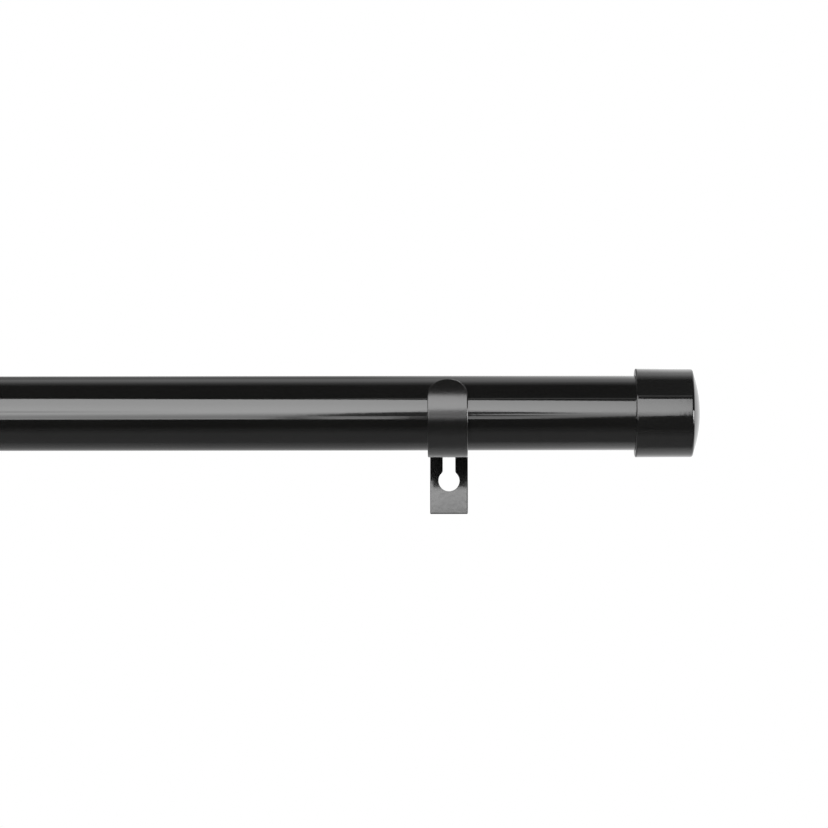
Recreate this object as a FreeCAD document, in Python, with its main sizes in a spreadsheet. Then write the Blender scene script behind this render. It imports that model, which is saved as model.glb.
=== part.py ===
import FreeCAD, Part
import math
import os

import Sketcher
from FreeCAD import Placement, Rotation, Vector

# Extendable curtain rod: two steel tubes, one sliding in the other, a drum cap on each end and two
# brackets, each folded from one steel strip.
#
# Frame: X runs along the rod, towards the end of the wide tube. Y points back at the wall, and the
# wall's surface is the plane Y = 0. Z is up. The origin lies on the wall, midway between the round
# screw holes of the two brackets.

# Driving sizes: millimetres, and degrees where the name says angle.
SIZES = [
    ("pole_diameter", 28.0, "outside of the outer tube"),
    ("outer_wall", 1.2, "wall of the outer tube"),
    ("outer_length", 670.0, "length of the outer tube"),
    ("tube_gap", 0.3, "gap all round between the inner tube and the outer tube's bore"),
    ("inner_wall", 0.8, "wall of the inner tube"),
    ("end_room", 50.0, "how much shorter the inner tube is than the outer one"),
    ("sliding_clearance", 0.08, "gap all round at the mouth and at the guide plug"),
    ("mouth_length", 4.0, "straight part of the outer tube's rolled-in mouth"),
    ("mouth_taper", 3.0, "length over which the mouth is rolled in"),
    ("plug_flange", 3.0, "length of the guide plug's head"),
    ("plug_stem", 16.0, "length of the guide plug's stem"),
    ("plug_wall", 1.6, "wall of the guide plug's stem"),
    ("cap_wall", 1.0, "sheet of a cap's shell"),
    ("dome_radius", 46.0, "sphere of a cap's shallow dome"),
    ("cap_corner", 1.0, "rounding between a cap's side and its dome"),
    ("rim_rounding", 0.6, "rounding of a cap's rim"),
    ("rim_lip", 0.4, "thickness of the lip that a cap's rim is turned in to"),
    ("lip_clearance", 0.2, "gap all round between the pole and the lip of its cap"),
    ("grip_depth", 18.0, "rim to the end of the tube inside a cap"),
    ("grip_clearance", 0.05, "gap all round between a tube and its grip sleeve"),
    ("grip_wall", 1.6, "wall of the grip sleeve on the outer tube"),
    ("sleeve_gap", 0.1, "lip to the face of the grip sleeve"),
    ("sleeve_floor", 1.5, "floor of the grip sleeve"),
    ("end_gap", 0.3, "tube end to the floor of the grip sleeve"),
    ("shoulder_room", 0.9, "floor of the grip sleeve to where the cap's dome begins inside"),
    ("split_width", 1.6, "width of the sleeve's splits"),
    ("split_depth", 12.0, "depth of the sleeve's splits"),
    ("strip_width", 15.0, "width of the bracket's strip"),
    ("strip_thickness", 2.5, "thickness of the bracket's strip"),
    ("strip_edge", 0.4, "rounding of the strip's edges"),
    ("seat_clearance", 0.05, "gap between the pole and the bottom of its cradle"),
    ("cradle_rise", 0.66, "pole axis up to the middle of the cradle's round"),
    ("tip_angle", 42.4, "how far the cradle's tip reaches above the front"),
    ("ramp_angle", 50.0, "slope of the ramp behind the cradle"),
    ("knee_radius", 4.0, "inside of the bend between ramp and arm"),
    ("arm_height", 2.3, "pole axis up to the middle of the arm's sheet"),
    ("wall_clearance", 76.0, "wall to the back of the pole"),
    ("wall_bend_radius", 1.5, "inside of the bend between arm and wall plate"),
    ("plate_drop", 32.8, "pole axis down to the plate's lower end"),
    ("hole_drop", 19.6, "pole axis down to the keyhole's round hole"),
    ("hole_diameter", 8.4, "round hole of the keyhole"),
    ("key_slot_width", 5.0, "slot of the keyhole"),
    ("key_slot_rise", 12.0, "round hole's centre up to the centre of the slot's end"),
    ("key_neck_radius", 1.5, "rounding where the slot meets the round hole"),
    ("rim_distance", 70.0, "middle of the right bracket to the right cap's rim"),
    ("mouth_distance", 72.0, "middle of the left bracket to the outer tube's mouth"),
    ("retracted_gap", 0.5, "left cap's rim to the outer tube's mouth"),
]

# The grip sleeves are split by cuts that each go through both of their sides.
SPLIT_PAIRS = 3
SPLIT_STEP = 180.0 / SPLIT_PAIRS

# How close, in millimetres, an edge lies to the place where it is looked for.
NEAR = 0.01


class Size:
    """A size from the sheet: its value now, and the formula that keeps it tied to its cells."""

    def __init__(self, value, formula):
        self.value = value
        self.formula = formula

    def __add__(self, other):
        other = as_size(other)
        return Size(self.value + other.value, f"({self.formula} + {other.formula})")

    def __sub__(self, other):
        other = as_size(other)
        return Size(self.value - other.value, f"({self.formula} - {other.formula})")

    def __mul__(self, other):
        other = as_size(other)
        return Size(self.value * other.value, f"({self.formula} * {other.formula})")

    def __truediv__(self, other):
        other = as_size(other)
        return Size(self.value / other.value, f"({self.formula} / {other.formula})")

    def __neg__(self):
        return Size(-self.value, f"(-1 * {self.formula})")


def as_size(number):
    if isinstance(number, Size):
        return number
    return Size(float(number), str(number))


def sine(angle):
    return Size(math.sin(math.radians(angle.value)), f"sin({angle.formula})")


def cosine(angle):
    return Size(math.cos(math.radians(angle.value)), f"cos({angle.formula})")


def arc_sine(ratio):
    return Size(math.degrees(math.asin(ratio.value)), f"(asin({ratio.formula}) / 1 deg)")


def square_root(area):
    return Size(math.sqrt(area.value), f"sqrt({area.formula})")


ZERO = Size(0.0, "0")

doc = FreeCAD.newDocument("CurtainRod")
sheet = doc.addObject("Spreadsheet::Sheet", "Sizes")
size = {}
for row, (alias, number, meaning) in enumerate(SIZES, start=1):
    sheet.set(f"A{row}", meaning)
    sheet.set(f"B{row}", str(number))
    sheet.setAlias(f"B{row}", alias)
    size[alias] = Size(number, f"Sizes.{alias}")
doc.recompute()

# Sizes that several pieces share.
pole_radius = size["pole_diameter"] / 2
bore_radius = pole_radius - size["outer_wall"]
inner_radius = bore_radius - size["tube_gap"]
inner_bore = inner_radius - size["inner_wall"]
inner_length = size["outer_length"] - size["end_room"]
shell_bore = pole_radius + size["grip_clearance"] + size["grip_wall"]
cap_radius = shell_bore + size["cap_wall"]
sleeve_face = size["rim_lip"] + size["sleeve_gap"]
cradle_bore = pole_radius + size["seat_clearance"] + size["cradle_rise"]
cradle_middle = cradle_bore + size["strip_thickness"] / 2

# Places along the rod, and the rod's axis in the frame.
beyond_brackets = size["mouth_distance"] + size["rim_distance"] + size["grip_depth"]
bracket_spacing = size["outer_length"] - beyond_brackets
right_bracket_x = bracket_spacing / 2
right_rim_x = right_bracket_x + size["rim_distance"]
outer_end_x = right_rim_x + size["grip_depth"]
mouth_x = outer_end_x - size["outer_length"]
left_rim_x = mouth_x - size["retracted_gap"]
inner_end_x = left_rim_x - size["grip_depth"]
wall_distance = pole_radius + size["wall_clearance"]
axis_y = -wall_distance
axis_z = size["hole_drop"]


def new_body(name, along, looks_left=False):
    """A body with its own name, placed on the rod's axis at a distance along it."""
    body = doc.addObject("PartDesign::Body", name)
    body.Label = name
    half_turn = math.degrees(math.pi)
    turn = Rotation(Vector(0, 0, 1), half_turn if looks_left else 0)
    body.Placement = Placement(Vector(along.value, axis_y.value, axis_z.value), turn)
    body.setExpression("Placement.Base.x", along.formula)
    body.setExpression("Placement.Base.y", axis_y.formula)
    body.setExpression("Placement.Base.z", axis_z.formula)
    return body


def new_sketch(body, name, role):
    """A sketch on one of the body's own origin planes."""
    plane = [item for item in body.Origin.OriginFeatures if item.Role == role][0]
    sketch = body.newObject("Sketcher::SketchObject", name)
    sketch.AttachmentSupport = [(plane, "")]
    sketch.MapMode = "FlatFace"
    return sketch


def tie(sketch, kind, where, measure):
    """Adds a constraint that carries a size, and ties it to the sheet."""
    index = sketch.addConstraint(Sketcher.Constraint(kind, *where, measure.value))
    sketch.setExpression(f"Constraints[{index}]", measure.formula)


def pin_point(sketch, edge, end, across, up):
    """Holds one end of an edge at its place in the sketch."""
    if across is ZERO:
        sketch.addConstraint(Sketcher.Constraint("PointOnObject", edge, end, -2))
    else:
        tie(sketch, "DistanceX", (-1, 1, edge, end), across)
    if up is ZERO:
        sketch.addConstraint(Sketcher.Constraint("PointOnObject", edge, end, -1))
    else:
        tie(sketch, "DistanceY", (-1, 1, edge, end), up)


def flat(across, up):
    return Vector(across.value, up.value, 0)


def add_outline(sketch, corners):
    """A closed outline of straight runs through the corners."""
    count = len(corners)
    for number in range(count):
        start = corners[number]
        end = corners[(number + 1) % count]
        sketch.addGeometry(Part.LineSegment(flat(*start), flat(*end)), False)
    for number in range(count):
        sketch.addConstraint(Sketcher.Constraint("Coincident", number, 2, (number + 1) % count, 1))
    for number, (across, up) in enumerate(corners):
        pin_point(sketch, number, 1, across, up)


def revolve(body, sketch, name):
    """Turns a sketch round the body's X axis."""
    turned = body.newObject("PartDesign::Revolution", name)
    turned.Profile = sketch
    turned.ReferenceAxis = (sketch, ["H_Axis"])
    turned.Angle = 360
    body.Tip = turned
    return turned


def outer_tube():
    """The wide tube, rolled in at its mouth so that the narrow tube slides without rattling."""
    body = new_body("outer_tube", mouth_x)
    mouth_bore = inner_radius + size["sliding_clearance"]
    mouth_radius = mouth_bore + size["outer_wall"]
    taper_end = size["mouth_length"] + size["mouth_taper"]
    sketch = new_sketch(body, "outer_tube_wall", "XZ_Plane")
    add_outline(sketch, [
        (ZERO, mouth_bore),
        (size["mouth_length"], mouth_bore),
        (taper_end, bore_radius),
        (size["outer_length"], bore_radius),
        (size["outer_length"], pole_radius),
        (taper_end, pole_radius),
        (size["mouth_length"], mouth_radius),
        (ZERO, mouth_radius),
    ])
    revolve(body, sketch, "outer_tube_turned")
    return body


def inner_tube():
    """The narrow tube, plain from end to end."""
    body = new_body("inner_tube", inner_end_x)
    sketch = new_sketch(body, "inner_tube_wall", "XZ_Plane")
    add_outline(sketch, [
        (ZERO, inner_bore),
        (inner_length, inner_bore),
        (inner_length, inner_radius),
        (ZERO, inner_radius),
    ])
    revolve(body, sketch, "inner_tube_turned")
    return body


def guide_plug():
    """The plastic plug in the narrow tube's hidden end, whose head runs in the wide tube's bore."""
    body = new_body("guide_plug", inner_end_x + inner_length)
    head_radius = bore_radius - size["sliding_clearance"]
    hollow = inner_bore - size["plug_wall"]
    sketch = new_sketch(body, "guide_plug_wall", "XZ_Plane")
    add_outline(sketch, [
        (-size["plug_stem"], hollow),
        (size["plug_flange"], hollow),
        (size["plug_flange"], head_radius),
        (ZERO, head_radius),
        (ZERO, inner_bore),
        (-size["plug_stem"], inner_bore),
    ])
    revolve(body, sketch, "guide_plug_turned")
    return body


def cap_shell(name, rim_x, looks_left):
    """A drum-shaped cap of drawn steel: a shallow dome closes it and its rim is turned in to a lip."""
    body = new_body(name, rim_x, looks_left)
    dome = size["dome_radius"]
    inner_dome = dome - size["cap_wall"]
    sleeve_end = size["grip_depth"] + size["end_gap"] + size["sleeve_floor"]
    inner_shoulder = sleeve_end + size["shoulder_room"]
    dome_centre = inner_shoulder - square_root(inner_dome * inner_dome - shell_bore * shell_bore)
    shoulder = dome_centre + square_root(dome * dome - cap_radius * cap_radius)
    crown = dome_centre + dome
    inner_crown = dome_centre + inner_dome
    sketch = new_sketch(body, name + "_wall", "XZ_Plane")

    # The runs in order: side, dome, axis, inner dome, bore, back and hole of the lip, rim.
    lip = size["rim_lip"]
    lip_hole = pole_radius + size["lip_clearance"]
    middle = flat(dome_centre, ZERO)
    side = (flat(ZERO, cap_radius), flat(shoulder, cap_radius))
    bore = (flat(inner_shoulder, shell_bore), flat(lip, shell_bore))
    hole = (flat(lip, lip_hole), flat(ZERO, lip_hole))
    steepness = math.asin(cap_radius.value / dome.value)
    inner_steepness = math.asin(shell_bore.value / inner_dome.value)
    sketch.addGeometry(Part.LineSegment(*side), False)
    outer_circle = Part.Circle(middle, Vector(0, 0, 1), dome.value)
    sketch.addGeometry(Part.ArcOfCircle(outer_circle, 0, steepness), False)
    sketch.addGeometry(Part.LineSegment(flat(crown, ZERO), flat(inner_crown, ZERO)), False)
    inner_circle = Part.Circle(middle, Vector(0, 0, 1), inner_dome.value)
    sketch.addGeometry(Part.ArcOfCircle(inner_circle, 0, inner_steepness), False)
    sketch.addGeometry(Part.LineSegment(*bore), False)
    sketch.addGeometry(Part.LineSegment(bore[1], hole[0]), False)
    sketch.addGeometry(Part.LineSegment(*hole), False)
    sketch.addGeometry(Part.LineSegment(hole[1], side[0]), False)

    # An arc's end 1 is where it starts, on the axis, and its end 2 is at the shoulder.
    side_run, dome_arc, crown_run, inner_arc, bore_run, lip_back, lip_run, rim_run = range(8)
    for first, first_end, second, second_end in [
        (side_run, 2, dome_arc, 2), (dome_arc, 1, crown_run, 1), (crown_run, 2, inner_arc, 1),
        (inner_arc, 2, bore_run, 1), (bore_run, 2, lip_back, 1), (lip_back, 2, lip_run, 1),
        (lip_run, 2, rim_run, 1), (rim_run, 2, side_run, 1),
    ]:
        sketch.addConstraint(Sketcher.Constraint("Coincident", first, first_end, second, second_end))
    pin_point(sketch, side_run, 1, ZERO, cap_radius)
    pin_point(sketch, bore_run, 2, lip, shell_bore)
    pin_point(sketch, lip_run, 1, lip, lip_hole)
    pin_point(sketch, lip_run, 2, ZERO, lip_hole)
    sketch.addConstraint(Sketcher.Constraint("Horizontal", side_run))
    sketch.addConstraint(Sketcher.Constraint("Horizontal", bore_run))
    pin_point(sketch, dome_arc, 3, dome_centre, ZERO)
    sketch.addConstraint(Sketcher.Constraint("Coincident", dome_arc, 3, inner_arc, 3))
    tie(sketch, "Radius", (dome_arc,), dome)
    tie(sketch, "Radius", (inner_arc,), inner_dome)
    sketch.addConstraint(Sketcher.Constraint("PointOnObject", dome_arc, 1, -1))
    sketch.addConstraint(Sketcher.Constraint("PointOnObject", inner_arc, 1, -1))
    turned_shell = revolve(body, sketch, name + "_turned")
    doc.recompute()

    round_edges(body, turned_shell, name + "_corner", size["cap_corner"], shoulder, cap_radius)
    round_edges(body, body.Tip, name + "_rim", size["rim_rounding"], ZERO, cap_radius)
    return body


def round_edges(body, base, name, radius, along, out):
    """Rounds the circle that lies at a distance along the body's X axis and out from it."""
    wanted = []
    for number, edge in enumerate(base.Shape.Edges, start=1):
        if edge.Degenerated or edge.Curve.TypeId != "Part::GeomCircle":
            continue
        off_place = abs(edge.Curve.Center.x - along.value)
        off_radius = abs(edge.Curve.Radius - out.value)
        if max(off_place, off_radius) < NEAR:
            wanted.append(f"Edge{number}")
    rounded = body.newObject("PartDesign::Fillet", name)
    rounded.Base = (base, wanted)
    rounded.Radius = radius.value
    rounded.setExpression("Radius", radius.formula)
    body.Tip = rounded
    doc.recompute()


def grip_sleeve(name, rim_x, looks_left, tube_radius):
    """The split plastic cup inside a cap, which grips the end of its tube."""
    body = new_body(name, rim_x, looks_left)
    grip = tube_radius + size["grip_clearance"]
    floor = size["grip_depth"] + size["end_gap"]
    sketch = new_sketch(body, name + "_wall", "XZ_Plane")
    add_outline(sketch, [
        (sleeve_face, grip),
        (floor, grip),
        (floor, ZERO),
        (floor + size["sleeve_floor"], ZERO),
        (floor + size["sleeve_floor"], shell_bore),
        (sleeve_face, shell_bore),
    ])
    revolve(body, sketch, name + "_turned")

    split = new_sketch(body, name + "_split", "XZ_Plane")
    half = size["split_width"] / 2
    split_end = sleeve_face + size["split_depth"]
    add_outline(split, [
        (ZERO, -half),
        (split_end, -half),
        (split_end, half),
        (ZERO, half),
    ])
    cut = body.newObject("PartDesign::Pocket", name + "_split_cut")
    cut.Profile = split
    cut.Midplane = True
    cut.setExpression("Length", (cap_radius * 2).formula)
    body.Tip = cut
    doc.recompute()

    around = body.newObject("PartDesign::PolarPattern", name + "_splits")
    around.Originals = [cut]
    around.Axis = (split, ["H_Axis"])
    around.Angle = SPLIT_STEP * (SPLIT_PAIRS - 1)
    around.Occurrences = SPLIT_PAIRS
    body.Tip = around
    return body


def strip_path(body, name):
    """The middle line of the bracket's strip, from the plate's lower end to the cradle's tip."""
    half = size["strip_thickness"] / 2
    cradle = cradle_middle
    rise = size["cradle_rise"]
    knee = size["knee_radius"] + half
    bend = size["wall_bend_radius"] + half
    plate_y = wall_distance - half
    arm_z = size["arm_height"]
    ramp = size["ramp_angle"]
    tip = size["tip_angle"]

    # The ramp leaves the cradle on a tangent and turns into the arm at the knee. Its upper end
    # lies where a circle that touches the arm from below meets it.
    ramp_start = (cradle * sine(ramp), rise - cradle * cosine(ramp))
    knee_z = arm_z - knee
    ramp_end_z = knee_z + knee * cosine(ramp)
    ramp_end_y = ramp_start[0] + (ramp_end_z - ramp_start[1]) * cosine(ramp) / sine(ramp)
    knee_y = ramp_end_y + knee * sine(ramp)

    sketch = new_sketch(body, name, "YZ_Plane")
    upright = Vector(0, 0, 1)
    quarter = math.pi / 2
    ramp_turn = math.radians(ramp.value)
    tip_turn = math.radians(tip.value)
    bend_circle = Part.Circle(flat(plate_y - bend, arm_z - bend), upright, bend.value)
    knee_circle = Part.Circle(flat(knee_y, knee_z), upright, knee.value)
    cradle_circle = Part.Circle(flat(ZERO, rise), upright, cradle.value)
    edges = [
        Part.LineSegment(flat(plate_y, -size["plate_drop"]), flat(plate_y, arm_z - bend)),
        Part.ArcOfCircle(bend_circle, 0, quarter),
        Part.LineSegment(flat(plate_y - bend, arm_z), flat(knee_y, arm_z)),
        Part.ArcOfCircle(knee_circle, quarter, quarter + ramp_turn),
        Part.LineSegment(flat(ramp_end_y, ramp_end_z), flat(*ramp_start)),
        Part.ArcOfCircle(cradle_circle, math.pi - tip_turn, 3 * quarter + ramp_turn),
    ]
    for edge in edges:
        sketch.addGeometry(edge, False)
    plate, bend_arc, arm, knee_arc, ramp_run, cradle_arc = range(6)
    for first, first_end, second, second_end in [
        (plate, 2, bend_arc, 1), (bend_arc, 2, arm, 1), (arm, 2, knee_arc, 1),
        (knee_arc, 2, ramp_run, 1), (ramp_run, 2, cradle_arc, 2),
    ]:
        sketch.addConstraint(Sketcher.Constraint("Tangent", first, first_end, second, second_end))
    pin_point(sketch, cradle_arc, 3, ZERO, rise)
    tie(sketch, "Radius", (cradle_arc,), cradle)
    tie(sketch, "Radius", (knee_arc,), knee)
    tie(sketch, "Radius", (bend_arc,), bend)
    sketch.addConstraint(Sketcher.Constraint("Vertical", plate))
    sketch.addConstraint(Sketcher.Constraint("Horizontal", arm))
    pin_point(sketch, plate, 1, plate_y, -size["plate_drop"])
    tie(sketch, "DistanceY", (-1, 1, arm, 1), arm_z)
    tie(sketch, "DistanceY", (-1, 1, ramp_run, 2), ramp_start[1])
    tie(sketch, "DistanceY", (-1, 1, cradle_arc, 1), rise + cradle * sine(tip))
    return sketch


def bracket(name, along):
    """A bracket folded from one strip: keyhole plate, bend, arm, knee, ramp and cradle."""
    body = new_body(name, along)
    path = strip_path(body, name + "_path")

    section = new_sketch(body, name + "_section", "XY_Plane")
    section.setExpression("AttachmentOffset.Base.z", (-size["plate_drop"]).formula)
    half_width = size["strip_width"] / 2
    front = wall_distance - size["strip_thickness"]
    add_outline(section, [
        (-half_width, front),
        (half_width, front),
        (half_width, wall_distance),
        (-half_width, wall_distance),
    ])
    doc.recompute()
    folded = body.newObject("PartDesign::AdditivePipe", name + "_folded")
    folded.Profile = section
    folded.Spine = (path, [f"Edge{number}" for number in range(1, 7)])
    folded.Transition = "Round corner"
    body.Tip = folded
    doc.recompute()

    # The tip is rounded by what lies outside a half circle, seen square on to the strip.
    tip_centre_angle = size["tip_angle"] - arc_sine(half_width / cradle_middle)
    rise = size["cradle_rise"]
    tip = new_sketch(body, name + "_tip", "XZ_Plane")
    tip_turn = Rotation(Vector(1, 0, 0), -tip_centre_angle.value)
    tip.AttachmentOffset = Placement(flat(ZERO, rise), tip_turn)
    tip.setExpression("AttachmentOffset.Base.y", rise.formula)
    tip.setExpression("AttachmentOffset.Rotation.Angle", (-tip_centre_angle).formula)
    beyond = size["strip_width"]
    tip_circle = Part.Circle(Vector(), Vector(0, 0, 1), half_width.value)
    tip.addGeometry(Part.ArcOfCircle(tip_circle, 0, math.pi), False)
    corners = [
        (-half_width, ZERO), (-beyond, ZERO), (-beyond, beyond),
        (beyond, beyond), (beyond, ZERO), (half_width, ZERO),
    ]
    for start, end in zip(corners, corners[1:]):
        tip.addGeometry(Part.LineSegment(flat(*start), flat(*end)), False)
    tip.addConstraint(Sketcher.Constraint("Coincident", 0, 2, 1, 1))
    for number in range(1, 5):
        tip.addConstraint(Sketcher.Constraint("Coincident", number, 2, number + 1, 1))
    tip.addConstraint(Sketcher.Constraint("Coincident", 5, 2, 0, 1))
    tip.addConstraint(Sketcher.Constraint("Coincident", 0, 3, -1, 1))
    tie(tip, "Radius", (0,), half_width)
    tip.addConstraint(Sketcher.Constraint("PointOnObject", 0, 1, -1))
    tip.addConstraint(Sketcher.Constraint("PointOnObject", 0, 2, -1))
    for number, corner in enumerate(corners[1:5], start=2):
        pin_point(tip, number, 1, *corner)
    rounded = body.newObject("PartDesign::Pocket", name + "_tip_cut")
    rounded.Profile = tip
    rounded.Type = "Length"
    rounded.Reversed = True
    rounded.setExpression("Length", (cradle_middle * 2).formula)
    body.Tip = rounded
    doc.recompute()

    softened = body.newObject("PartDesign::Fillet", name + "_edges")
    softened.Base = (rounded, [""])
    softened.UseAllEdges = True
    softened.Radius = size["strip_edge"].value
    softened.setExpression("Radius", size["strip_edge"].formula)
    body.Tip = softened
    doc.recompute()

    keyhole(body, name)
    return body


def keyhole(body, name):
    """The keyhole in the wall plate: the screw's head passes the round hole, its shank the slot."""
    sketch = new_sketch(body, name + "_keyhole", "XZ_Plane")
    sketch.setExpression("AttachmentOffset.Base.z", (-wall_distance).formula)
    sketch.setExpression("AttachmentOffset.Base.y", (-size["hole_drop"]).formula)
    radius = size["hole_diameter"] / 2
    half = size["key_slot_width"] / 2
    neck = size["key_neck_radius"]
    rise = size["key_slot_rise"]

    # A neck arc touches the round hole from outside and the slot's side.
    neck_x = half + neck
    neck_y = square_root((radius + neck) * (radius + neck) - neck_x * neck_x)
    turn = math.atan2(neck_y.value, neck_x.value)
    upright = Vector(0, 0, 1)
    hole_circle = Part.Circle(Vector(), upright, radius.value)
    right_circle = Part.Circle(flat(neck_x, neck_y), upright, neck.value)
    left_circle = Part.Circle(flat(-neck_x, neck_y), upright, neck.value)
    end_circle = Part.Circle(flat(ZERO, rise), upright, half.value)
    edges = [
        Part.ArcOfCircle(hole_circle, math.pi - turn, 2 * math.pi + turn),
        Part.ArcOfCircle(right_circle, math.pi, math.pi + turn),
        Part.LineSegment(flat(half, neck_y), flat(half, rise)),
        Part.ArcOfCircle(end_circle, 0, math.pi),
        Part.LineSegment(flat(-half, rise), flat(-half, neck_y)),
        Part.ArcOfCircle(left_circle, -turn, 0),
    ]
    for edge in edges:
        sketch.addGeometry(edge, False)
    hole, right_neck, right_side, slot_end, left_side, left_neck = range(6)
    for first, first_end, second, second_end in [
        (hole, 2, right_neck, 2), (right_neck, 1, right_side, 1), (right_side, 2, slot_end, 1),
        (slot_end, 2, left_side, 1), (left_side, 2, left_neck, 2), (left_neck, 1, hole, 1),
    ]:
        sketch.addConstraint(Sketcher.Constraint("Tangent", first, first_end, second, second_end))
    sketch.addConstraint(Sketcher.Constraint("Coincident", hole, 3, -1, 1))
    tie(sketch, "Radius", (hole,), radius)
    tie(sketch, "Radius", (right_neck,), neck)
    tie(sketch, "Radius", (left_neck,), neck)
    sketch.addConstraint(Sketcher.Constraint("Vertical", right_side))
    sketch.addConstraint(Sketcher.Constraint("Vertical", left_side))
    tie(sketch, "DistanceX", (-1, 1, right_side, 2), half)
    tie(sketch, "DistanceX", (-1, 1, left_side, 1), -half)
    tie(sketch, "DistanceY", (-1, 1, slot_end, 3), rise)

    punched = body.newObject("PartDesign::Pocket", name + "_keyhole_cut")
    punched.Profile = sketch
    punched.Midplane = True
    punched.setExpression("Length", (size["strip_thickness"] * 4).formula)
    body.Tip = punched


bodies = [
    outer_tube(),
    inner_tube(),
    guide_plug(),
    cap_shell("right_cap", right_rim_x, False),
    grip_sleeve("right_grip_sleeve", right_rim_x, False, pole_radius),
    cap_shell("left_cap", left_rim_x, True),
    grip_sleeve("left_grip_sleeve", left_rim_x, True, inner_radius),
    bracket("right_bracket", right_bracket_x),
    bracket("left_bracket", -right_bracket_x),
]
doc.recompute()

# Nothing is written unless every object is sound.
for item in doc.Objects:
    if "Invalid" in item.State or "Error" in item.State:
        raise RuntimeError(f"{item.Label} failed: {item.State}")
for body in bodies:
    shape = body.Shape
    if shape.isNull() or not shape.isValid() or len(shape.Solids) != 1:
        raise RuntimeError(f"{body.Label} has no sound solid")

os.makedirs("parts", exist_ok=True)
for body in bodies:
    body.Shape.exportStep(f"parts/{body.Label}.step")
    box = body.Shape.optimalBoundingBox(True, False)
    reach = f"{box.XLength:.2f} x {box.YLength:.2f} x {box.ZLength:.2f} mm"
    print(f"{body.Label}: {reach}, {body.Shape.Volume:.1f} mm3")
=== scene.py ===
# %% [markdown]
# # Extendable curtain rod
#
# This lesson dresses a telescopic curtain rod: two steel tubes that slide in each other, a drum cap
# on each end and two strip brackets. The solids come ready from the CAD model, so the work here is
# the finish of each piece, the light round it and the place of the camera. Lengths are in metres,
# with X along the rod, Y towards the wall and Z up.

import math

import bmesh
import bpy
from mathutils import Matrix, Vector

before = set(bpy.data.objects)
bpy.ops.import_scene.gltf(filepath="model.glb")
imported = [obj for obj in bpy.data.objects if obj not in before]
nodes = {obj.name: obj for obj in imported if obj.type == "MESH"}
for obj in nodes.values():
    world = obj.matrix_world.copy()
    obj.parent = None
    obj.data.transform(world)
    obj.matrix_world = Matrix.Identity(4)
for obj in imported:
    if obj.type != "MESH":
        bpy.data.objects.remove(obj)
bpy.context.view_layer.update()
print("pieces:", ", ".join(sorted(nodes)))

# %% [markdown]
# ## Colours
#
# A colour is easiest to note down as the hex code that a screen shows, but a shader wants linear
# light. One function turns the first into the second, so every colour below stays a hex code.

# %% Colours


def screen_colour(code):
    """A hex colour as linear red, green, blue and alpha."""
    parts = [int(code[at:at + 2], 16) / 255 for at in (1, 3, 5)]
    linear = [p / 12.92 if p <= 0.04045 else ((p + 0.055) / 1.055) ** 2.4 for p in parts]
    return (*linear, 1.0)


print("black enamel in linear light:", [round(c, 4) for c in screen_colour("#141414")[:3]])

# %% [markdown]
# ## Nodes
#
# A material is a chain of nodes. It could be linked up by hand in the editor, but a script can be
# read again later. One function starts a material with an empty tree, and a second one adds a node,
# sets its options, and gives each socket a value or a link, so that a material reads as a list.

# %% Nodes


def empty_material(name):
    """A material with nothing in its node tree."""
    material = bpy.data.materials.new(name)
    material.use_nodes = True
    material.node_tree.nodes.clear()
    return material


def add_node(tree, kind, sockets=None, **options):
    """A node with its options set, and its sockets given a value or linked to an output."""
    node = tree.nodes.new(kind)
    for option, value in options.items():
        setattr(node, option, value)
    for socket, value in (sockets or {}).items():
        if isinstance(value, bpy.types.NodeSocket):
            tree.links.new(value, node.inputs[socket])
        else:
            node.inputs[socket].default_value = value
    return node


# A noise node's values seldom leave this range, so it is what gets spread over a range of gloss.
NOISE_LOW, NOISE_HIGH = 0.3, 0.7
print("noise runs from about", NOISE_LOW, "to", NOISE_HIGH)

# %% [markdown]
# ## Stoved enamel
#
# Tubes, caps and brackets are steel, sprayed with black enamel and baked. Baked enamel flows out to
# an almost perfect mirror, so the eye sees little black and mostly the room. What tells it from
# glass is the faint orange peel of the spray, dimples about 2 mm apart and a few thousandths of a
# millimetre deep, and a slight change of gloss and depth from place to place. All of it comes from
# two noise patterns, so there is nothing to paint and no seam to hide.

# %% Stoved enamel
DRIFT_SIZE = 0.040
PEEL_SPACING = 0.002


def stoved_enamel(name, dark, pale, smoothest, roughest, peel, wall_roughness=None, index=1.5):
    """Black enamel whose gloss and depth of colour drift a little along the piece."""
    material = empty_material(name)
    tree = material.node_tree
    place = add_node(tree, "ShaderNodeTexCoord").outputs["Object"]
    drift = add_node(tree, "ShaderNodeTexNoise", {
        "Vector": place, "Scale": 1 / DRIFT_SIZE, "Detail": 2.0, "Roughness": 0.5,
    })
    roughness = add_node(tree, "ShaderNodeMapRange", {
        "Value": drift.outputs["Fac"], "From Min": NOISE_LOW, "From Max": NOISE_HIGH,
        "To Min": smoothest, "To Max": roughest,
    })
    if wall_roughness is not None:
        roughness = smoother_to_the_wall(tree, place, roughness, wall_roughness)
    tone = add_node(tree, "ShaderNodeMix", {
        "Factor": drift.outputs["Fac"], "A": screen_colour(dark), "B": screen_colour(pale),
    }, data_type="RGBA")
    dimples = add_node(tree, "ShaderNodeTexNoise", {
        "Vector": place, "Scale": 1 / PEEL_SPACING, "Detail": 1.0, "Roughness": 0.4,
    })
    surface = add_node(tree, "ShaderNodeBump", {
        "Height": dimples.outputs["Fac"], "Distance": peel, "Strength": 1.0,
    })
    shader = add_node(tree, "ShaderNodeBsdfPrincipled", {
        "Base Color": tone.outputs["Result"],
        "Roughness": roughness.outputs["Result"],
        "Normal": surface.outputs["Normal"],
        "IOR": index,
    })
    add_node(tree, "ShaderNodeOutputMaterial", {"Surface": shader.outputs["BSDF"]})
    return material


print("orange peel: dimples", PEEL_SPACING * 1000, "mm apart")

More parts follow.
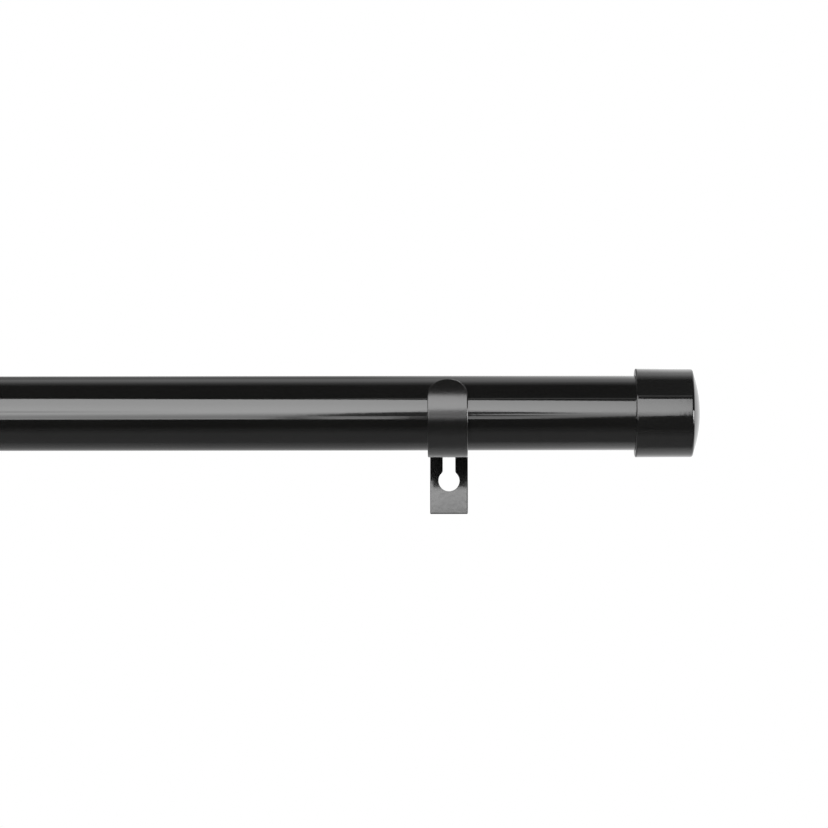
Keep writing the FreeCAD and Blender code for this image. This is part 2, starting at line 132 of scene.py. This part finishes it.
# %% [markdown]
# A bracket has two glosses. The bent hook is satin, and the flat wall plate, where the wet enamel
# could lie level, mirrors sharply. So the roughness follows the depth of the bracket: it changes
# along the arm, from the pole to the wall, where nobody sees it change.

# %% The bracket's two glosses
ARM_FRONT_Y, ARM_BACK_Y = -0.070, -0.010


def smoother_to_the_wall(tree, place, roughness, wall_roughness):
    """Leads the roughness over, along the arm, to the one that the wall plate has."""
    axes = add_node(tree, "ShaderNodeSeparateXYZ", {"Vector": place})
    return add_node(tree, "ShaderNodeMapRange", {
        "Value": axes.outputs["Y"], "From Min": ARM_FRONT_Y, "From Max": ARM_BACK_Y,
        "To Min": roughness.outputs["Result"], "To Max": wall_roughness,
    })


print("the gloss changes over", round((ARM_BACK_Y - ARM_FRONT_Y) * 1000), "mm of arm")

# %% [markdown]
# One function then makes three enamels. The tubes' is the blackest and shows the panel's edge
# sharply. The caps' is a little greyer, as on a piece that is sprayed apart. The brackets' is satin,
# which softens what the hook mirrors to a broad sheen.

# %% The three enamels
tube_enamel = stoved_enamel(
    "stoved_gloss_enamel_on_tube", dark="#121212", pale="#171716",
    smoothest=0.05, roughest=0.09, peel=0.000005,
)
cap_enamel = stoved_enamel(
    "stoved_gloss_enamel_on_cap", dark="#171717", pale="#1c1c1b",
    smoothest=0.05, roughest=0.08, peel=0.000004,
)
bracket_enamel = stoved_enamel(
    "satin_enamel_on_strip", dark="#141414", pale="#1b1b1a",
    smoothest=0.19, roughest=0.23, peel=0.000006, wall_roughness=0.07, index=1.54,
)
print("enamels:", tube_enamel.name, cap_enamel.name, bracket_enamel.name)

# %% [markdown]
# ## Moulded plastic
#
# The grip sleeves in the caps and the guide plug on the narrow tube are moulded in black plastic.
# The mould is sparked, not polished, which leaves a fine even grain, about 0.4 mm from pit to pit
# and 0.02 mm deep: the plastic looks dull and a little greyer than the enamel. One noise pattern
# gives grain, gloss and tone, because on the real piece the same pits cause all three.

# %% Moulded plastic
GRAIN_SPACING = 0.0004
GRAIN_DEPTH = 0.00002
GRAIN_SMOOTHEST, GRAIN_ROUGHEST = 0.42, 0.56
moulded_plastic = empty_material("moulded_black_plastic_spark_grain")
tree = moulded_plastic.node_tree
place = add_node(tree, "ShaderNodeTexCoord").outputs["Object"]
grain = add_node(tree, "ShaderNodeTexNoise", {
    "Vector": place, "Scale": 1 / GRAIN_SPACING, "Detail": 3.0, "Roughness": 0.6,
})
grain_roughness = add_node(tree, "ShaderNodeMapRange", {
    "Value": grain.outputs["Fac"], "From Min": NOISE_LOW, "From Max": NOISE_HIGH,
    "To Min": GRAIN_SMOOTHEST, "To Max": GRAIN_ROUGHEST,
})
grain_tone = add_node(tree, "ShaderNodeMix", {
    "Factor": grain.outputs["Fac"], "A": screen_colour("#1c1c1d"), "B": screen_colour("#252526"),
}, data_type="RGBA")
grain_surface = add_node(tree, "ShaderNodeBump", {
    "Height": grain.outputs["Fac"], "Distance": GRAIN_DEPTH, "Strength": 1.0,
})
plastic_shader = add_node(tree, "ShaderNodeBsdfPrincipled", {
    "Base Color": grain_tone.outputs["Result"],
    "Roughness": grain_roughness.outputs["Result"],
    "Normal": grain_surface.outputs["Normal"],
    "IOR": 1.5,
})
add_node(tree, "ShaderNodeOutputMaterial", {"Surface": plastic_shader.outputs["BSDF"]})
print("plastic:", moulded_plastic.name)

# %% [markdown]
# ## Dressing the pieces
#
# Each solid has one material slot to fill.

# %% Dressing the pieces
FINISHES = {
    "outer_tube": (tube_enamel, "tube_lacquer"),
    "inner_tube": (tube_enamel, "tube_lacquer"),
    "right_cap": (cap_enamel, "cap_lacquer"),
    "left_cap": (cap_enamel, "cap_lacquer"),
    "right_bracket": (bracket_enamel, "bracket_lacquer"),
    "left_bracket": (bracket_enamel, "bracket_lacquer"),
    "guide_plug": (moulded_plastic, "moulded_plastic"),
    "right_grip_sleeve": (moulded_plastic, "moulded_plastic"),
    "left_grip_sleeve": (moulded_plastic, "moulded_plastic"),
}
for name, (material, slot) in FINISHES.items():
    piece = nodes[name]
    piece.data.materials.clear()
    piece.data.materials.append(material)
print("dressed:", len(FINISHES), "pieces")

# %% [markdown]
# ## Flat pieces for the studio
#
# Floor, soft panel and lights are all flat sheets with a plain outline. A bmesh takes the corners,
# makes one face of them and becomes a mesh.

# %% Flat pieces


def flat_piece(name, corners, material):
    """One flat face through the corners, for the studio and not for the object."""
    mesh = bpy.data.meshes.new(name)
    shape = bmesh.new()
    shape.faces.new([shape.verts.new(corner) for corner in corners])
    shape.to_mesh(mesh)
    shape.free()
    mesh.materials.append(material)
    piece = bpy.data.objects.new(name, mesh)
    bpy.context.scene.collection.objects.link(piece)
    return piece


print("a flat piece needs a name, its corners and a material")

# %% [markdown]
# ## Levels over a distance
#
# Light that changes along a line is noted as stops: a place, and the level there. A colour ramp
# takes up to 32 of them and blends between each two. It wants both from 0 to 1, so one function
# spreads the places over the ramp, and levels above 1 are divided by the brightest one first.

# %% Levels over a distance


def fill_ramp(node, stops, brightest=1.0):
    """Spreads grey stops, given as place and level, over a colour ramp from end to end."""
    first, last = stops[0][0], stops[-1][0]
    ramp = node.color_ramp
    while len(ramp.elements) < len(stops):
        ramp.elements.new(0.5)
    for element, (place, level) in zip(ramp.elements, stops):
        grey = level / brightest
        element.position = (place - first) / (last - first)
        element.color = (grey, grey, grey, 1.0)


def levels_along(tree, distance, stops, brightest=1.0):
    """A colour ramp that gives the stops' levels, as shares of the brightest, along a distance."""
    share = add_node(tree, "ShaderNodeMapRange", {
        "Value": distance, "From Min": stops[0][0], "From Max": stops[-1][0],
    })
    ramp = add_node(tree, "ShaderNodeValToRGB", {"Fac": share.outputs["Result"]})
    fill_ramp(ramp, stops, brightest)
    return ramp


print("a ramp runs from its first stop to its last")

# %% [markdown]
# ## The floor
#
# A pale matt floor lies almost a metre below the rod. It is fully there under the rod only. Towards
# the front and the sides it thins out to nothing, so that no line shows where it ends. Towards the
# back it lets most of the white room through, which the rod's underside mirrors. Paint that thins
# out is a mix of a matt and a see-through shader.

# %% How much of the floor is there
FLOOR_FRONT, FLOOR_BACK, FLOOR_SIDE = -0.95, 1.65, 1.2
FLOOR_FULL_SIDE = 0.7
FLOOR_COVER = [
    (FLOOR_FRONT, 0.0), (-0.80, 0.26), (-0.62, 0.42), (-0.44, 0.9), (0.10, 1.0),
    (0.22, 0.55), (0.45, 0.25), (0.90, 0.15), (FLOOR_BACK, 0.0),
]
floor_paint = empty_material("matt_white_floor_paint")
tree = floor_paint.node_tree
place = add_node(tree, "ShaderNodeTexCoord").outputs["Object"]
axes = add_node(tree, "ShaderNodeSeparateXYZ", {"Vector": place})
cover = levels_along(tree, axes.outputs["Y"], FLOOR_COVER)
from_middle = add_node(tree, "ShaderNodeMath", {0: axes.outputs["X"]}, operation="ABSOLUTE")
fade = add_node(tree, "ShaderNodeMapRange", {
    "Value": from_middle.outputs["Value"], "From Min": FLOOR_FULL_SIDE, "From Max": FLOOR_SIDE,
    "To Min": 1.0, "To Max": 0.0,
}, interpolation_type="SMOOTHSTEP")
covered = add_node(tree, "ShaderNodeMath", {
    0: cover.outputs["Color"], 1: fade.outputs["Result"],
}, operation="MULTIPLY")
print("floor:", FLOOR_SIDE * 2, "m wide,", FLOOR_BACK - FLOOR_FRONT, "m deep")

# %% [markdown]
# The paint is a little lighter for the camera than for everything else. So the picture's ground
# stays near white and keeps the rod's shadow, while what the enamel mirrors of it isn't too pale.

# %% The floor
POLE_Y, POLE_Z = -0.090, 0.0196  # the pole's axis, from which the studio is laid out
FLOOR_DROP = 0.92
light_path = add_node(tree, "ShaderNodeLightPath")
tone = add_node(tree, "ShaderNodeMix", {
    "Factor": light_path.outputs["Is Camera Ray"],
    "A": screen_colour("#c4c4c4"), "B": screen_colour("#e6e6e6"),
}, data_type="RGBA")
paint = add_node(tree, "ShaderNodeBsdfDiffuse", {"Color": tone.outputs["Result"]})
nothing = add_node(tree, "ShaderNodeBsdfTransparent")
faded = add_node(tree, "ShaderNodeMixShader", {
    0: covered.outputs["Value"], 1: nothing.outputs["BSDF"], 2: paint.outputs["BSDF"],
})
add_node(tree, "ShaderNodeOutputMaterial", {"Surface": faded.outputs["Shader"]})
floor = flat_piece("floor", [
    (-FLOOR_SIDE, FLOOR_FRONT, 0), (FLOOR_SIDE, FLOOR_FRONT, 0),
    (FLOOR_SIDE, FLOOR_BACK, 0), (-FLOOR_SIDE, FLOOR_BACK, 0),
], floor_paint)
floor.location.z = POLE_Z - FLOOR_DROP
print("floor at", round(floor.location.z, 3), "m")

# %% [markdown]
# ## The soft panel in front
#
# A black mirror shows its lights, so their shape matters more than their power. One tall soft panel
# stands 2.2 m in front of the rod, behind the camera, and draws the grey band along the tube. It is
# taller than the rod is long, because a tube squeezes all that stands before it into a thin line.
# Its right side is cut in slants and steps, which the band on the cap shows. From bottom to top its
# light dips, rises to its brightest at the height of the rod, and falls off slowly.

# %% The soft panel
PANEL_AWAY = 2.2
PANEL_OUTLINE = [
    (-0.75, -0.90), (0.31, -0.90), (0.345, -0.82), (0.375, -0.70), (0.392, -0.64),
    (0.420, -0.54), (0.445, -0.47), (0.470, -0.42), (0.478, -0.23), (0.482, -0.06),
    (0.51, 0.20), (0.51, 1.36), (0.44, 1.365), (0.405, 1.445), (0.13, 1.74),
    (-0.043, 1.83), (-0.246, 1.97), (-0.40, 1.96), (-0.55, 1.76), (-0.75, 1.74),
]
PANEL_LEVELS = [
    (-0.90, 4.6), (-0.70, 3.5), (-0.60, 3.6), (-0.45, 4.1), (-0.37, 4.6), (-0.25, 5.7),
    (-0.13, 6.7), (0.0, 7.9), (0.50, 7.6), (1.00, 7.0), (2.17, 6.6),
]
PANEL_BRIGHTEST = 10.0

panel_y = POLE_Y - PANEL_AWAY
panel_cloth = empty_material("lit_diffuser_cloth")
tree = panel_cloth.node_tree
place = add_node(tree, "ShaderNodeTexCoord").outputs["Object"]
axes = add_node(tree, "ShaderNodeSeparateXYZ", {"Vector": place})
levels = levels_along(tree, axes.outputs["Z"], PANEL_LEVELS, PANEL_BRIGHTEST)
print("panel:", len(PANEL_OUTLINE), "corners,", len(PANEL_LEVELS), "levels")

# %% [markdown]
# Cloth is never lit evenly. The whole panel falls off a little to the right. Its lower half is
# brightest at the left, where a lamp stands, dips towards the right and rises again at the edge.

# %% Light across the panel
DIM_FROM_X, DIM_TO_X, DIM_RIGHT = 0.13, 0.46, 0.84
LOWER_Z, UPPER_Z = -0.20, 0.02
LOWER_HALF = [
    (-0.20, 1.25), (0.05, 1.07), (0.13, 1.0), (0.27, 0.95),
    (0.34, 0.85), (0.40, 0.88), (0.44, 1.1), (0.46, 1.2),
]
LOWER_BRIGHTEST = 1.5
right_side = add_node(tree, "ShaderNodeMapRange", {
    "Value": axes.outputs["X"], "From Min": DIM_FROM_X, "From Max": DIM_TO_X,
    "To Min": 1.0, "To Max": DIM_RIGHT,
})
lower_levels = levels_along(tree, axes.outputs["X"], LOWER_HALF, LOWER_BRIGHTEST)
lower_gain = add_node(tree, "ShaderNodeMath", {
    0: lower_levels.outputs["Color"], 1: LOWER_BRIGHTEST,
}, operation="MULTIPLY")
lower_half = add_node(tree, "ShaderNodeMapRange", {
    "Value": axes.outputs["Z"], "From Min": LOWER_Z, "From Max": UPPER_Z,
    "To Min": lower_gain.outputs["Value"], "To Max": 1.0,
})
print("the halves blend from Z", LOWER_Z, "to", UPPER_Z)

# %% [markdown]
# Two soft shades lie on the cloth. A small round one is a painted shadow, a darker spot in the
# cloth's glow where the head of the camera's stand would throw one. A long level one is a seam a
# little above the rod's height, which shows at the left and fades out to the right.

# %% Shades on the panel
SHADE_CENTRE, SHADE_RADIUS, SHADE_LEVEL = (0.247, panel_y, 0.085), 0.075, 0.25
SEAM_Z, SEAM_HALF, SEAM_SOFT = 0.03, 0.03, 0.17
SEAM_LEFT_X, SEAM_RIGHT_X, SEAM_LEVEL = -0.16, 0.0, 0.70
# Painted shadow: the panel's glow is dimmed round one point, darkest at its middle.
from_stand = add_node(tree, "ShaderNodeVectorMath", {
    0: place, 1: SHADE_CENTRE,
}, operation="DISTANCE")
painted_stand_shade = add_node(tree, "ShaderNodeMapRange", {
    "Value": from_stand.outputs["Value"], "From Min": 0.0, "From Max": SHADE_RADIUS,
    "To Min": SHADE_LEVEL, "To Max": 1.0,
}, interpolation_type="SMOOTHSTEP")
seam_depth = add_node(tree, "ShaderNodeMapRange", {
    "Value": axes.outputs["X"], "From Min": SEAM_LEFT_X, "From Max": SEAM_RIGHT_X,
    "To Min": SEAM_LEVEL, "To Max": 1.0,
})
above_seam = add_node(tree, "ShaderNodeMath", {
    0: axes.outputs["Z"], 1: SEAM_Z,
}, operation="SUBTRACT")
from_seam = add_node(tree, "ShaderNodeMath", {0: above_seam.outputs["Value"]}, operation="ABSOLUTE")
seam = add_node(tree, "ShaderNodeMapRange", {
    "Value": from_seam.outputs["Value"], "From Min": SEAM_HALF, "From Max": SEAM_SOFT,
    "To Min": seam_depth.outputs["Result"], "To Max": 1.0,
})
print("shades: one round, one seam")

# %% [markdown]
# Each of these tells how much of the panel's own light is left, or added, at a place. So they are
# multiplied one by one into the strength of its glow. The camera doesn't see the panel, only its
# reflection.

# %% Lighting the panel
strength = right_side.outputs["Result"]
for factor in (lower_half, painted_stand_shade, seam):
    product = add_node(tree, "ShaderNodeMath", {
        0: strength, 1: factor.outputs["Result"],
    }, operation="MULTIPLY")
    strength = product.outputs["Value"]
full_strength = add_node(tree, "ShaderNodeMath", {
    0: strength, 1: PANEL_BRIGHTEST,
}, operation="MULTIPLY")
glow = add_node(tree, "ShaderNodeEmission", {
    "Color": levels.outputs["Color"], "Strength": full_strength.outputs["Value"],
})
add_node(tree, "ShaderNodeOutputMaterial", {"Surface": glow.outputs["Emission"]})
panel = flat_piece("soft_panel", [(x, panel_y, z) for x, z in PANEL_OUTLINE], panel_cloth)
panel.visible_camera = False
print("the soft panel stands at Y", round(panel_y, 2))

# %% [markdown]
# ## The camera's stand
#
# The camera on its stand cuts a dark notch in the panel's reflection, which tells the eye that the
# rod stands in a real room. Its outline is enough, in grey felt: a head and two legs, just behind
# the place of the camera.

# %% The stand
STAND_AWAY = 1.45
STAND_PARTS = {
    "stand": [
        (0.132, -0.342), (0.148, -0.235), (0.159, -0.150), (0.182, -0.066), (0.209, -0.008),
        (0.25, 0.012), (0.30, 0.0), (0.325, -0.040), (0.345, -0.13), (0.27, -0.17),
        (0.27, -0.25), (0.33, -0.27), (0.31, -0.342),
    ],
    "left_leg": [(0.121, -0.36), (0.133, -0.34), (0.151, -0.66), (0.114, -0.66)],
    "right_leg": [(0.220, -0.34), (0.242, -0.34), (0.257, -0.66), (0.199, -0.66)],
}
stand_felt = empty_material("grey_felt_on_stand")
tree = stand_felt.node_tree
felt = add_node(tree, "ShaderNodeBsdfDiffuse", {"Color": screen_colour("#8c8c8c")})
add_node(tree, "ShaderNodeOutputMaterial", {"Surface": felt.outputs["BSDF"]})
for name, outline in STAND_PARTS.items():
    part = flat_piece(name, [(x, POLE_Y - STAND_AWAY, z) for x, z in outline], stand_felt)
    part.visible_camera = False
print("stand:", ", ".join(STAND_PARTS))

# %% [markdown]
# ## Cards of light
#
# The smaller lights only have to be seen in the enamel. A card that also lit the floor would lift
# the black, so each one is hidden from the camera and from matt surfaces. Studio lamps have opal
# sheets in front, which glow evenly, so each card has one level of light.

# %% Cards of light


def light_card(name, corners, level):
    """A light that shows in the enamel only: the camera and matt surfaces don't see it."""
    material = empty_material("lit_opal_sheet_of_" + name)
    glow = add_node(material.node_tree, "ShaderNodeEmission", {
        "Color": screen_colour("#ffffff"), "Strength": level,
    })
    add_node(material.node_tree, "ShaderNodeOutputMaterial", {"Surface": glow.outputs["Emission"]})
    card = flat_piece(name, corners, material)
    card.visible_camera = False
    card.visible_diffuse = False
    return card


NARROW_LAMP_LEVEL = 1.1
NARROW_LAMP = [
    (0.10, 1.85), (0.41, 1.85), (0.45, 1.78), (0.57, 1.78),
    (0.57, 1.90), (0.46, 1.91), (0.42, 2.0), (0.10, 2.0),
]
light_card("narrow_lamp", [(x, panel_y, z) for x, z in NARROW_LAMP], NARROW_LAMP_LEVEL)
print("the narrow lamp hangs over the panel's cut corner")

# %% [markdown]
# A second panel turns the corner to the left and comes forward in a short return. The two light up
# the rim of the cap and the left edges of the strip. The return ends half a metre before the rod:
# if it came further, the tube would mirror it fully when seen from its right end, and look white.

# %% The left panel and its return
LEFT_LEVEL = 3.6
LEFT_EDGES = [
    ((-0.80, -2.25, -0.88), (-0.80, -2.25, 1.74)),
    ((-1.50, -1.27, -0.33), (-1.50, -1.27, 1.55)),
    ((-1.50, -0.55, -0.22), (-1.50, -0.55, 1.18)),
]
LEFT_CARDS = ("left_panel", "left_return")
for name, far_edge, near_edge in zip(LEFT_CARDS, LEFT_EDGES, LEFT_EDGES[1:]):
    light_card(name, [far_edge[0], near_edge[0], near_edge[1], far_edge[1]], LEFT_LEVEL)
print("left cards:", ", ".join(LEFT_CARDS))

# %% [markdown]
# A low strong lamp on the right puts the spark on the corner of the cap. The corner is rounded by
# a millimetre, so it mirrors the whole right side of the room in a line a pixel wide: only a lamp
# that is much brighter than the panel shows there.

# %% The right lamp
RIGHT_LEVEL = 15.0
RIGHT_X = 1.85
RIGHT_LAMP = [(-2.40, -0.54), (-0.26, -0.54), (-0.26, 0.09), (-2.40, 0.07)]
light_card("right_lamp", [(RIGHT_X, y, z) for y, z in RIGHT_LAMP], RIGHT_LEVEL)
print("the right lamp stands at X", RIGHT_X)

# %% [markdown]
# ## The room
#
# Light that no lamp gives comes from the room, which in Blender is the world. Behind the rod the
# room is white, in front it is dark, and between them it fades: that gives the tube its pale upper
# and lower edges. Here a place is a direction, from -1 to 1 along each axis.

# %% From front to back
ROOM_LEVELS = [
    (-1.0, 0.04), (0.0, 0.05), (0.05, 0.14), (0.10, 0.27),
    (0.18, 0.42), (0.26, 0.64), (0.38, 1.0), (1.0, 1.0),
]
room = bpy.data.worlds.new("white_cove")
bpy.context.scene.world = room
room.use_nodes = True
tree = room.node_tree
tree.nodes.clear()
direction = add_node(tree, "ShaderNodeTexCoord").outputs["Generated"]
axes = add_node(tree, "ShaderNodeSeparateXYZ", {"Vector": direction})
levels = levels_along(tree, axes.outputs["Y"], ROOM_LEVELS)
print("room levels:", len(ROOM_LEVELS))

# %% [markdown]
# The room isn't the same all round. On the left it is dimmer, most of all high up, and just right
# of the middle it is brightest. Near the ceiling this difference is gone.

# %% From left to right
LEFT_X, MIDDLE_X = -0.03, 0.055
LEFT_LOW_Z, LEFT_HIGH_Z = -0.3, 0.3
LEFT_LOW, LEFT_HIGH, MIDDLE_LEVEL = 0.6, 0.4, 1.3
CEILING_FROM, CEILING_TO = 0.72, 0.86
far_left = add_node(tree, "ShaderNodeMapRange", {
    "Value": axes.outputs["Z"], "From Min": LEFT_LOW_Z, "From Max": LEFT_HIGH_Z,
    "To Min": LEFT_LOW, "To Max": LEFT_HIGH,
})
from_left = add_node(tree, "ShaderNodeMapRange", {
    "Value": axes.outputs["X"], "From Min": LEFT_X, "From Max": MIDDLE_X,
    "To Min": far_left.outputs["Result"], "To Max": MIDDLE_LEVEL,
})
below_ceiling = add_node(tree, "ShaderNodeMapRange", {
    "Value": axes.outputs["Z"], "From Min": CEILING_FROM, "From Max": CEILING_TO,
    "To Min": from_left.outputs["Result"], "To Max": 1.0,
}, interpolation_type="SMOOTHSTEP")
print("left of the middle:", LEFT_LOW, "low down,", LEFT_HIGH, "high up")

# %% [markdown]
# One stretch of the right wall is brighter still, above the rod's height only. It gives the cap a
# paler upper edge than the tube has beside it.

# %% The right wall
RIGHT_WALL = [(0.042, 1.0), (0.055, 1.45), (0.14, 1.45), (0.22, 1.03), (1.0, 0.93)]
WALL_BRIGHTEST = 2.0
WALL_FROM_Z, WALL_TO_Z = -0.2, 0.2
right_wall = levels_along(tree, axes.outputs["X"], RIGHT_WALL, WALL_BRIGHTEST)
wall_gain = add_node(tree, "ShaderNodeMath", {
    0: right_wall.outputs["Color"], 1: WALL_BRIGHTEST,
}, operation="MULTIPLY")
upper_wall = add_node(tree, "ShaderNodeMapRange", {
    "Value": axes.outputs["Z"], "From Min": WALL_FROM_Z, "From Max": WALL_TO_Z,
    "To Min": 1.0, "To Max": wall_gain.outputs["Value"],
})
wall_light = add_node(tree, "ShaderNodeMath", {
    0: below_ceiling.outputs["Result"], 1: upper_wall.outputs["Result"],
}, operation="MULTIPLY")
room_light = add_node(tree, "ShaderNodeVectorMath", {
    0: levels.outputs["Color"], "Scale": wall_light.outputs["Value"],
}, operation="SCALE")
print("right wall levels:", len(RIGHT_WALL))

# %% [markdown]
# The camera, and a ray that it sends on through something clear, see plain white all round, so the
# picture's ground is white from every side. What the enamel mirrors is the room itself, which is
# white behind the rod too. Plain white all round would leave the mirror no dark side, and black
# enamel would look grey.

# %% What each ray sees
light_path = add_node(tree, "ShaderNodeLightPath")
straight = add_node(tree, "ShaderNodeMath", {
    0: light_path.outputs["Is Camera Ray"], 1: light_path.outputs["Is Transmission Ray"],
}, operation="MAXIMUM")
seen = add_node(tree, "ShaderNodeMix", {
    "Factor": straight.outputs["Value"],
    "A": room_light.outputs["Vector"], "B": screen_colour("#ffffff"),
}, data_type="RGBA")
backdrop = add_node(tree, "ShaderNodeBackground", {
    "Color": seen.outputs["Result"], "Strength": 1.0,
})
add_node(tree, "ShaderNodeOutputWorld", {"Surface": backdrop.outputs["Background"]})
bpy.context.scene.view_settings.view_transform = "Standard"
print("room:", room.name)

# %% [markdown]
# ## The camera
#
# The camera stands 1.4 m in front of the pole and looks up at it by almost five degrees, a little
# right of the bracket. The wall plates lean away from it by that angle, and mirror the underside of
# the pole. The lens is long: at this distance the rod fills the picture from the left edge to its
# cap, and the cap's rims bulge by only a pixel or two.

# %% The camera
CAMERA_AWAY = 1.4
CAMERA_RISE = math.radians(-4.8)
CAMERA_X = 0.262
AIM_X = 0.2423
AIM_BELOW_AXIS = 0.00028
SENSOR_MM = 36.0
FOCAL_PIXELS = 3733.0
PICTURE_PIXELS = 828

camera_data = bpy.data.cameras.new("camera")
camera_data.sensor_width = SENSOR_MM
camera_data.lens = FOCAL_PIXELS / PICTURE_PIXELS * SENSOR_MM
camera = bpy.data.objects.new("camera", camera_data)
bpy.context.scene.collection.objects.link(camera)
back = Vector((0, -math.cos(CAMERA_RISE), math.sin(CAMERA_RISE)))
camera.location = Vector((CAMERA_X, POLE_Y, POLE_Z)) + back * CAMERA_AWAY
aim = Vector((AIM_X, POLE_Y, POLE_Z - AIM_BELOW_AXIS))
camera.rotation_euler = (aim - camera.location).to_track_quat("-Z", "Y").to_euler()
bpy.context.scene.camera = camera
print("lens:", round(camera_data.lens, 1), "mm")
